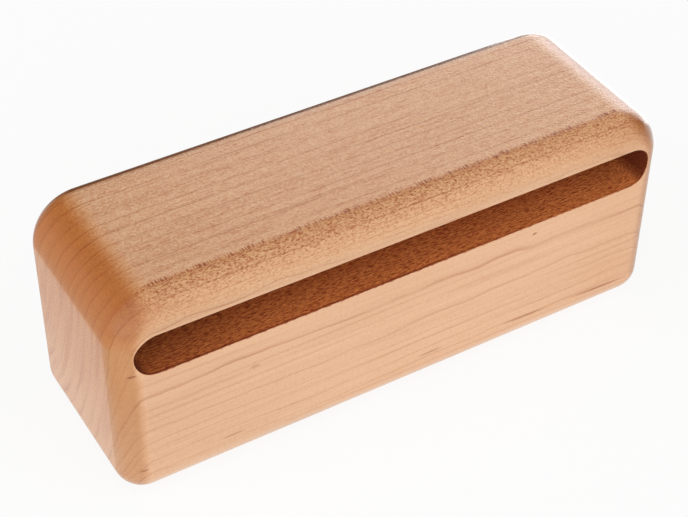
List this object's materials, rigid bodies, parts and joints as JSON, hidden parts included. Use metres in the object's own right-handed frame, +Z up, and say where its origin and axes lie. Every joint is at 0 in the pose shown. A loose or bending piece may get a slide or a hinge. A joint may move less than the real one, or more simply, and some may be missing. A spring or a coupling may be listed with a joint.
{
  "type": "woodblock",
  "caption": "Rounded maple percussion block with a long round-ended sound slot routed into its front face, struck on its top with a beater.",
  "frame": {"origin": "middle of the bottom face, on the surface that the block stands on", "axes": "+Z up through the struck top, +X along the block's length, the slot's mouth faces -Y"},
  "size_m": [0.19, 0.063, 0.074],
  "materials": {
    "maple": "hard maple, sanded, thin satin clear coat"
  },
  "bodies": {
    "root": {"front_board": "maple", "middle_board": "maple", "rear_board": "maple"}
  },
  "joints": []
}
